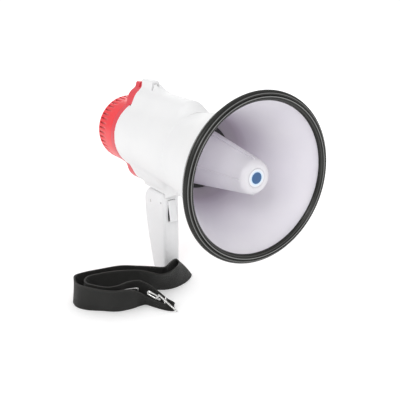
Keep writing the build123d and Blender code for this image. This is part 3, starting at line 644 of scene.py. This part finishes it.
# ---------------------------------------------------------------- rim, (y, r) outline
RIM = [
    (8.15, 98.0), (9.0, 98.0), (9.5, 98.5), (9.55, 99.3), (9.1, 99.9), (8.2, 100.35),
    (5.6, 101.7), (3.0, 103.05), (2.1, 103.2), (1.7, 103.25), (1.35, 103.8), (0.6, 104.6),
    (-0.3, 104.95), (-1.2, 105.0), (-2.0, 104.85), (-2.8, 104.45), (-3.4, 103.9),
    (-3.7, 103.3), (-3.6, 102.8), (-3.75, 102.4), (-4.4, 102.35), (-5.1, 102.0),
    (-5.7, 101.35), (-6.05, 100.5), (-6.0, 99.9), (-5.5, 99.5), (-5.35, 99.1), (-5.7, 98.8),
    (-6.3, 98.5), (-6.6, 98.0), (-6.6, 97.4), (-6.35, 96.8), (-5.8, 96.45), (-5.3, 96.2),
    (-5.2, 95.8), (-5.4, 95.3), (-5.2, 94.7), (-4.5, 93.85), (-3.4, 93.15), (-2.3, 92.75),
    (-1.4, 92.72), (-0.9, 92.95), (-0.55, 93.5), (-0.5, 97.0), (-0.5, 99.4), (8.1, 99.42),
]


def make_rim():
    piece("rim", turned(RIM, segments=320), "body", "rim_gasket",
          [RIM_RUBBER], sharp=50)


# ---------------------------------------------------------------- nose, (y, r) outlines
RIBS = [0.0, 90.0, 180.0, 270.0]  # degrees about the axis
RIB_ANGLES = (-2.9, -2.1, -1.45, -1.05, -0.55, 0.0, 0.55, 1.05, 1.45, 2.1, 2.9)
RIB_Y = [7.5, 9.5, 12.5, 15.0, 30, 110, 116]
RIB_HEIGHT = [0, 1.7, 2.0, 1.25, 1.3, 1.4, 1.4]  # at each RIB_Y
CONE_FRONT, CONE_REAR = (13.0, 22.0), (116.0, 36.5)
NOSE_FRONT = [(4.2, 0.0), (4.2, 11.5), (3.9, 11.75), (3.25, 12.1), (3.0, 12.6), (3.0, 14.2)]
NOSE_SHOULDER = [(3.0, 15.0), (3.5, 17.0), (5.2, 19.3), (7.6, 20.9), (10.4, 21.65), CONE_FRONT]
NOSE_INSIDE = [(116.0, 34.7), (60, 27.2), (15, 20.2), (8, 15.5), (6.4, 11), (6.4, 0.0)]
INLAY = [(4.15, 0.0), (4.15, 11.2), (3.6, 11.2), (3.38, 11.0), (3.3, 10.6), (3.3, 0.0)]
POST_CIRCLE, POST_RADIUS = 33, 3.2
POST_Y = (111.0, 123.1)


def nose_angles():
    """Even steps, with finer ones over each rib."""
    angles = list(np.arange(0, 360, 2.5))
    for rib in RIBS:
        angles = [t for t in angles if abs((t - rib + 180) % 360 - 180) > 3.2]
        angles += [rib + offset for offset in RIB_ANGLES]
    return np.radians(sorted(t % 360 for t in angles))


def rib_lift(y, r, angle):
    degrees = np.degrees(angle)
    nearest = np.min([np.abs((degrees - rib + 180) % 360 - 180) for rib in RIBS], axis=0)
    across = plateau(nearest, flat=1.0, slope=1.15)
    # a line between the nose's inner and outer walls keeps the ribs to the outside
    on_outside = r > (20.8 + (y - 13) * 0.1408)
    return across * np.interp(y, RIB_Y, RIB_HEIGHT) * on_outside


def make_nose():
    (y0, r0), (y1, r1) = CONE_FRONT, CONE_REAR
    cone = [CONE_FRONT] + [(y, r0 + (y - y0) * (r1 - r0) / (y1 - y0))
                           for y in np.linspace(18, y1, 18)]
    profile = NOSE_FRONT + curve(NOSE_SHOULDER, 5)[:-1] + cone + NOSE_INSIDE
    parts = [turned(profile, angles=nose_angles(), lift=rib_lift)]
    for rib in RIBS:
        x = POST_CIRCLE * math.cos(math.radians(rib))
        z = POST_CIRCLE * math.sin(math.radians(rib))
        parts.append(rod((x, POST_Y[0], z), (x, POST_Y[1], z), POST_RADIUS))
    piece("nose", join(*parts), "body", "nose_reflector", [WHITE_NOSE], sharp=40)
    piece("nose_inlay", turned(INLAY, segments=96), "body", "nose_badge", [BADGE])


# ---------------------------------------------------------------- housing
STEP = 1.15  # grid step
BARREL = [(129.2, 56.6), (140, 55.5), (150, 54.5), (165, 53.5), (180, 52.7), (200, 51.9),
          (220, 51.3), (250, 50.8), (277, 50.4)]  # (y, radius)
BARREL_Y, BARREL_R = zip(*BARREL)
# long lobes above and below the barrel: (centre z, radius, front y, front rounding)
LOBES = [(48.0, 22.0, 136.0, 12.0), (-45.0, 25.0, 188.0, 15.0)]
WALL = 2.6
CAVITY_FRONT = 131.8
# (y, z) outlines of the block and gusset below the barrel and the lug above it
BLOCK = [(190, -40), (190, -72), (257.0, -72), (257.5, -71), (257.5, -40)]
GUSSET = [(158, -44), (158, -58), (165, -62.5), (198.2, -79), (198.2, -44)]
LUG = [(273, 60), (273, 80.5), (269, 83), (245, 83), (239, 81.2), (212, 67), (208, 60)]
BLOCK_HALF, LUG_HALF = 13, 6.5  # half widths in x
TONGUE_Y, TONGUE_Z, TONGUE_R, TONGUE_HALF = 240, -93, 9, 8  # round-ended, below the block
TONGUE_HOLE = 2.56
SLIT_Y, SLIT_HALF, SLIT_FLOOR = (235.5, 240.5), 12, 69.9  # across the lug
BORE_Z, BORE_R, BORE_Y = 77, 1.7, (228, 279)  # along the lug
SEAT_R, SEAT_Y = 50.8, (269.3, 278)  # cleared outside this radius for the bezel


def lobed_barrel(x, y, z):
    d = np.hypot(x, z) - np.interp(y, BARREL_Y, BARREL_R)
    for centre, radius, front, edge in LOBES:
        lobe = rounded(np.hypot(x, z - centre) - (radius - edge), (front + edge) - y, edge)
        d = smin(d, lobe, 12.0)
    return d


def housing_field(x, y, z):
    block = smin(plate(x, y, z, BLOCK_HALF, BLOCK, 1.6),
                 plate(x, y, z, BLOCK_HALF, GUSSET, 1.2), 0.6)
    block = np.maximum(block, slab(y, GUSSET[0][0], BLOCK[-1][0]))
    d = smin(lobed_barrel(x, y, z), block, 4.0)
    d = smin(d, plate(x, y, z, LUG_HALF, LUG, 3.2), 7.0)
    d = np.maximum(d, slab(y, BARREL_Y[0], BARREL_Y[-1]))

    from_hole = np.hypot(y - TONGUE_Y, z - TONGUE_Z)
    strip = np.maximum(slab(y, TONGUE_Y - TONGUE_R, TONGUE_Y + TONGUE_R),
                       slab(z, TONGUE_Z, -60))
    tongue = smax(slab(x, -TONGUE_HALF, TONGUE_HALF),
                  smin(from_hole - TONGUE_R, strip, 0.3), 0.8)
    d = np.minimum(d, cut(tongue, from_hole - TONGUE_HOLE))

    slit = np.maximum(slab(y, *SLIT_Y), np.maximum(slab(x, -SLIT_HALF, SLIT_HALF),
                                                   SLIT_FLOOR - z))
    bore = np.maximum(np.hypot(x, z - BORE_Z) - BORE_R, slab(y, *BORE_Y))
    seat = np.maximum(slab(y, *SEAT_Y), SEAT_R - np.hypot(x, z))
    d = cut(d, np.minimum(np.minimum(slit, bore), seat))
    return cut(d, smax(lobed_barrel(x, y, z) + WALL, CAVITY_FRONT - y, 0.5))


def make_housing():
    shape = surface_net(housing_field, (-62, 127, -105), (62, 280, 87), STEP)
    piece("housing", shape, "body", "main_body", [WHITE], sharp=42)


# ---------------------------------------------------------------- red bezel
BEZEL_R, BEZEL_BORE = 50.4, 46.4
BEZEL_CORE_Y = (277.2, 288.6)
BEZEL_SKIRT_R, BEZEL_SKIRT_Y = 51.0, (269.6, 287.6)  # outside this radius it reaches forward
BEZEL_LUG_Z = (55, 77.0)
BEZEL_NOTCH_Y = (272.9, 277.1)
# two stepped holes, above and below the axis
BEZEL_HOLE_Z, BEZEL_HOLE_R = 60.5, 1.7
BEZEL_RECESS_R, BEZEL_RECESS_Y = 3.2, 287.0


def bezel_field(x, y, z):
    r = np.hypot(x, z)
    d = r - BEZEL_R
    for centre, radius, _, _ in LOBES:
        d = smin(d, np.hypot(x, z - centre) - radius, 6.0)
    lug = smax(slab(x, -LUG_HALF, LUG_HALF), slab(z, *BEZEL_LUG_Z), 4.0)
    d = smin(d, lug, 5.0)
    skirt = np.maximum(slab(y, *BEZEL_SKIRT_Y), BEZEL_SKIRT_R - r)
    d = smax(d, np.minimum(slab(y, *BEZEL_CORE_Y), skirt), 1.6)
    d = cut(d, np.maximum(slab(y, *BEZEL_NOTCH_Y), SLIT_FLOOR - z))
    d = cut(d, r - BEZEL_BORE)
    for hole_z in (BEZEL_HOLE_Z, -BEZEL_HOLE_Z):
        from_hole = np.hypot(x, z - hole_z)
        d = cut(d, np.maximum(from_hole - BEZEL_RECESS_R, BEZEL_RECESS_Y - y))
        d = cut(d, from_hole - BEZEL_HOLE_R)
    return d


def make_bezel():
    shape = surface_net(bezel_field, (-54, 267, -73), (54, 292, 80), STEP * 0.85)
    piece("bezel", shape, "body", "rear_bezel", [RED], sharp=42)


# ---------------------------------------------------------------- rear cap
CAP_R, CAP_FRONT, CAP_BACK, CAP_EDGE = 49.5, 289.6, 335.6, 7.5
SPIGOT_R, SPIGOT_Y = 46.1, (279.0, 300.0)  # runs forward inside the bezel
FLUTES = 44
FLUTE_Y, FLUTE_DEPTH = [307.0, 312.0, 327.5, 329.5], [0.0, 0.7, 1.9, 0.0]
DISH_R, DISH_Y = 34.6, 333.0
CAVITY_BACK = 330.4
CAVITY_Y, CAVITY_R = [279, 318, CAVITY_BACK], [43.6, 44.0, 37.0]
# openings through the rear face: round ones as (x, z, radius), and one slot
ROUND_HOLES = [(0, 0, 14.3), (24.5, 0, 2.6), (-9.5, -24, 4.2), (9.5, -24, 4.2), (0, 24, 1.6)]
SLOT_CENTRE, SLOT_HALF, SLOT_CORNER = (-24.5, 0), (3.0, 7.9), 0.3
HOLE_FRONT = 328.0


def cap_field(x, y, z):
    r = np.hypot(x, z)
    # offset from the nearest flute's middle, as a share of the flute pitch
    offset = ((np.arctan2(z, x) * FLUTES / (2 * math.pi)) + 0.5) % 1.0 - 0.5
    flute = plateau(np.abs(offset), flat=0.10, slope=0.12) * np.interp(y, FLUTE_Y, FLUTE_DEPTH)
    shell = rounded(r - (CAP_R - CAP_EDGE) + flute, y - (CAP_BACK - CAP_EDGE), CAP_EDGE)
    shell = smax(shell, CAP_FRONT - y, 0.8)
    d = np.minimum(shell, np.maximum(r - SPIGOT_R, slab(y, *SPIGOT_Y)))
    dish = np.maximum(r - DISH_R - np.clip(y - DISH_Y, 0, 3) * 0.9, DISH_Y - y)
    d = smax(d, -dish, 0.5)
    d = cut(d, np.maximum(r - np.interp(y, CAVITY_Y, CAVITY_R), y - CAVITY_BACK))
    holes = rounded_box(x, z, SLOT_CENTRE, SLOT_HALF, SLOT_CORNER)
    for hole_x, hole_z, radius in ROUND_HOLES:
        holes = np.minimum(holes, np.hypot(x - hole_x, z - hole_z) - radius)
    return cut(d, np.maximum(holes, HOLE_FRONT - y))


def make_cap():
    shape = surface_net(cap_field, (-52, 277, -52), (52, 338, 52), STEP * 0.95)
    piece("cap", shape, "rear_cap", "rear_cap", [RED_CAP], sharp=50)


# ---------------------------------------------------------------- strap
# x and y of the webbing's middle line, x and y offset of its top edge from its bottom edge,
# and the height of the top edge over the bottom edge
STATIONS = [
    (-59, 101, 3, 4, 8), (-66.8, 107.5, 1.5, 2.5, 8.5), (-73, 118, 0, 0, 10),
    (-78.5, 129.5, -1, -2, 13), (-83.5, 133.5, -3, -5, 17), (-92, 133.5, -4, -6, 24),
    (-106, 132, -4, -7, 32), (-126, 136, -4, -8, 34), (-142, 150, -4, -5, 34),
    (-155.5, 166, -1, 0, 34), (-161.5, 180, 2, 2, 34), (-160, 194, 4, 4, 34),
    (-154, 204.5, 4, 4, 34), (-141, 207, 2, 3, 34), (-117, 206, 0, 2, 34),
    (-85, 200, 0, 2, 34), (-65, 190, 0, -6, 34), (-50, 180, 0, -14, 34),
    (-36, 169, 0, -12, 34), (-20, 175, -4, -8, 34), (-2, 183, -12, -4, 33),
    (8, 185.5, -25, -8, 32), (7.5, 177.5, -24, -6, 31), (-3, 167, -13, 0, 32),
    (-18, 157, -5, -6, 34), (-36, 153, -4, -15, 33), (-50, 158, -4, -20, 33),
    (-61, 168, -2, -12, 33.5), (-73, 178, 0, -6, 34), (-92, 186, 0, 0, 34),
    (-118, 193, 0, 0, 34), (-138, 194, 2, 0, 34), (-147, 186, 1, 0, 34),
    (-149, 175, 0, 0, 34), (-143, 162, 0, 0, 34), (-132, 149, 0, 0, 34),
    (-118, 145, 0, 0, 34), (-100, 148, 0, 0, 34), (-85, 145, 0, 0, 33),
    (-74, 136, -1, -2, 27), (-66, 127, -1, -2, 18.5), (-60, 117, -1, -2, 12),
    (-55, 106.5, 0, -1, 8.5),
]
STATION_STEPS = 6
STRAP_ROWS = 14
STRAP_HALF = 0.95  # half thickness
STRAP_LIFT, STRAP_LOWEST = 0.35, 0.3  # bottom edge and lowest point above the floor


def make_strap():
    stations = np.array(STATIONS, float)
    path = np.array([
        catmull(*(stations[(i + k) % len(stations)] for k in (-1, 0, 1, 2)), j / STATION_STEPS)
        for i in range(len(stations)) for j in range(STATION_STEPS)])
    count = len(path)
    middle, lean, height = path[:, :2], path[:, 2:4], path[:, 4]
    bottom = np.column_stack([middle - lean / 2, np.full(count, FLOOR + STRAP_LIFT)])
    top = np.column_stack([middle + lean / 2, FLOOR + STRAP_LIFT + height])

    # stretch the length to whole weave repeats so the weave closes at the loop's seam
    spans = np.linalg.norm(np.diff(middle, axis=0), axis=1)
    length = np.concatenate([[0], np.cumsum(spans)])
    measured = length[-1] + np.linalg.norm(middle[0] - middle[-1])
    total = round(measured / (2 * WEFT_PITCH)) * (2 * WEFT_PITCH)
    length = length * total / measured

    share = np.linspace(0, 1, STRAP_ROWS + 1)  # across the webbing
    thick = STRAP_HALF * (1 + 0.18 * (np.abs(share - 0.5) > 0.45))  # heavier edges
    verts = []
    for i in range(count):
        up = top[i] - bottom[i]
        row = bottom[i] + up * share[:, None]
        tangent = np.array([*(middle[(i + 1) % count] - middle[i - 1]), 0.0])
        normal = np.cross(tangent / np.linalg.norm(tangent), up / np.linalg.norm(up))
        normal /= np.linalg.norm(normal)
        # gentle belly and a slow ripple so the webbing doesn't read as sheet metal
        s = length[i]
        belly = (0.9 * np.sin(math.pi * share) * math.sin(s / 21.0 + 0.6)
                 + 0.35 * np.sin(s / 7.3 + 4.0 * share))
        row = row + normal * belly[:, None]
        verts += list(row + normal * thick[:, None])
        verts += list((row - normal * thick[:, None])[::-1])
    verts = np.array(verts)
    verts[:, 2] = np.maximum(verts[:, 2], FLOOR + STRAP_LOWEST)

    size = 2 * (STRAP_ROWS + 1)
    width = np.concatenate([share, share[::-1]]) * STRAP_WIDTH
    ends = np.append(length, total)
    faces, uv = [], []
    for i in range(count):
        k = (i + 1) % count
        for j in range(size):
            q = (j + 1) % size
            faces.append((i * size + j, k * size + j, k * size + q, i * size + q))
            uv += [(ends[i], width[j]), (ends[i + 1], width[j]),
                   (ends[i + 1], width[q]), (ends[i], width[q])]
    piece("strap", (verts, faces), "body", "strap_webbing", [WEB], sharp=60, uv=uv)


# ---------------------------------------------------------------- strap hardware
HOOK_X = -21.5  # middle of the hook's bowl in its own plane
STEM_TOP = np.array([-71.6, 115.6, -180.4])
STEM_FOOT = np.array([-57.6, 92.4, -198.6])


def slider_field(x, y, z):
    """Rounded plate with two windows."""
    d = rounded_box(x, y, (0, 0), (11, 13.2), 3.0)
    for window_x in (-5.6, 5.6):
        d = cut(d, rounded_box(x, y, (window_x, 0), (3.4, 10.2), 1.5))
    return smax(d, np.abs(z) - 1.1, 0.8)


def hook_field(x, y, z):
    """Bowl and neck of the snap hook in its own plane."""
    bowl = cut(rounded_box(x, y, (HOOK_X, 0), (8.2, 3.1), 3.0),
               rounded_box(x, y, (HOOK_X, 0), (5.6, 0.8), 0.8))
    bowl = smax(bowl, np.abs(z) - 1.5, 1.0)
    neck = smax(rounded_box(x, y, (-11.0, -0.6), (3.0, 1.5), 0.8), np.abs(z) - 1.4, 0.7)
    return smin(bowl, neck, 1.0)


def make_slider():
    shape = surface_net(slider_field, (-13, -15, -3), (13, 15, 3), 0.8)
    shape = placed(shape, (-101, 141.0, -185.6), (0.97, -0.243, 0), (-0.243, -0.97, 0))
    piece("slider", shape, "body", "strap_slider", [STEEL])


def make_hook():
    verts, faces = surface_net(hook_field, (-32, -6, -3), (-6, 6, 3), 0.6)
    bowl = placed((verts - [HOOK_X, 0, 0], faces), (-75.6, 127.6, -183.2),
                  (12.0, -14.9, -8.6), (-0.70, -0.60, 0.38))
    along = (STEM_FOOT - STEM_TOP) / np.linalg.norm(STEM_FOOT - STEM_TOP)
    bar = STEM_TOP + along * 10.6
    shape = join(
        bowl,
        # stem
        rod(STEM_TOP - along * 2.0, STEM_FOOT, 1.2, bevel=0.5),
        # collar round the stem
        rod(STEM_TOP + along * 9.0, STEM_TOP + along * 12.0, 2.0, segments=24, bevel=0.5),
        # bar through the collar
        rod(bar - np.array([1.4, 1.0, 3.0]), bar + np.array([2.2, 1.6, 4.4]), 0.95,
            segments=16),
        # short bar at the stem's top
        rod(STEM_TOP + np.array([-4.6, 2.0, -4.6]), STEM_TOP + np.array([0.4, -0.4, 0.6]), 1.3,
            segments=16))
    piece("hook", shape, "body", "snap_hook", [STEEL])


def make_gate():
    shape = rod((-79.6, 131.4, -179.2), (-73.2, 124.0, -182.6), 1.0, segments=16)
    piece("gate", shape, "hook_gate", "hook_gate", [STEEL])


# ---------------------------------------------------------------- floor, light, camera; in m
# name, position, target, size and watts
SOFTBOXES = [
    ("key", (-1.5, -0.9, 1.3), (0, 0, 0.15), (1.2, 1.0), 6.5),
    ("kick", (-1.25, -1.35, 1.35), (0, -0.2, 0.2), (0.34, 0.34), 3.2),
    ("front", (-0.5, -1.7, 1.0), (0, 0, 0.15), (1.2, 1.0), 3),
    ("top", (0.1, 0.1, 2.0), (0, 0, 0.1), (1.8, 1.8), 3.5),
    ("back", (0.9, 1.5, 1.0), (0, 0, 0.2), (1.2, 1.0), 5),
]
CAMERA_FROM_MOUTH = (-0.4876, -0.6222, 0.2403)
CAMERA_TURN, CAMERA_RISE = math.radians(-33.1), math.radians(18.7)


def make_floor():
    """Pale floor whose glow grows with distance from the world origin."""
    mesh = bpy.data.meshes.new("floor")
    mesh.from_pydata([(-6, -6, 0), (6, -6, 0), (6, 10, 0), (-6, 10, 0)], [], [(0, 1, 2, 3)])
    ob = add_object("floor", mesh)
    material, graph, surface = start("pale_floor")
    colour = graph.mix(graph.noise(scale=3.0), (0.93, 0.93, 0.93), (0.95, 0.95, 0.95))
    distance = graph.node("VectorMath")
    distance.operation = "LENGTH"
    graph.feed(distance.inputs[0], graph.coordinates())
    glow = graph.ramp(graph.scaled(distance.outputs["Value"], by=0.5),
                      [(0.10, 0.165), (0.36, 0.36)])
    graph.feed_all(surface, {
        "Base Color": colour,
        "Roughness": 0.8,
        "Specular IOR Level": 0.0,
        "Emission Color": (1, 1, 1),
        "Emission Strength": glow,
    })
    mesh.materials.append(material)


def make_world():
    """White surroundings, brighter to the camera than as a light."""
    world = bpy.data.worlds.new("studio")
    scene.world = world
    world.use_nodes = True
    graph = Graph(world.node_tree)
    seen = graph.node("LightPath").outputs["Is Camera Ray"]
    graph.feed_all(graph.tree.nodes["Background"], {
        "Color": (1.0, 1.0, 1.0), "Strength": graph.scaled(seen, by=0.26, plus=0.78)})


def make_lights():
    for name, position, target, size, watts in SOFTBOXES:
        light = bpy.data.lights.new(name, "AREA")
        light.shape = "RECTANGLE"
        light.size, light.size_y = size
        light.energy = watts
        ob = add_object(name, light)
        ob.location = position
        aim = Vector(target) - Vector(position)
        ob.rotation_euler = aim.to_track_quat("-Z", "Y").to_euler()


def make_camera():
    camera = bpy.data.cameras.new("camera")
    camera.lens = 63.0
    camera.sensor_width = 36.0
    camera.clip_end = 50.0
    camera.clip_start = 0.01
    ob = add_object("camera", camera)
    turn, rise = CAMERA_TURN, CAMERA_RISE
    back = Vector((math.sin(turn) * math.cos(rise), -math.cos(turn) * math.cos(rise),
                   math.sin(rise)))
    right = Vector((math.cos(turn), math.sin(turn), 0))
    pose = Matrix((right, back.cross(right), back)).transposed().to_4x4()
    x, y, z = CAMERA_FROM_MOUTH
    pose.translation = Vector((x, y + MOUTH_Y, z + AXIS_Z))
    ob.matrix_world = pose
    scene.camera = ob
    scene.view_settings.view_transform = "Standard"


for make in (make_bell, make_rim, make_nose, make_housing, make_bezel, make_cap, make_strap,
             make_slider, make_hook, make_gate, make_floor, make_world, make_lights,
             make_camera):
    make()
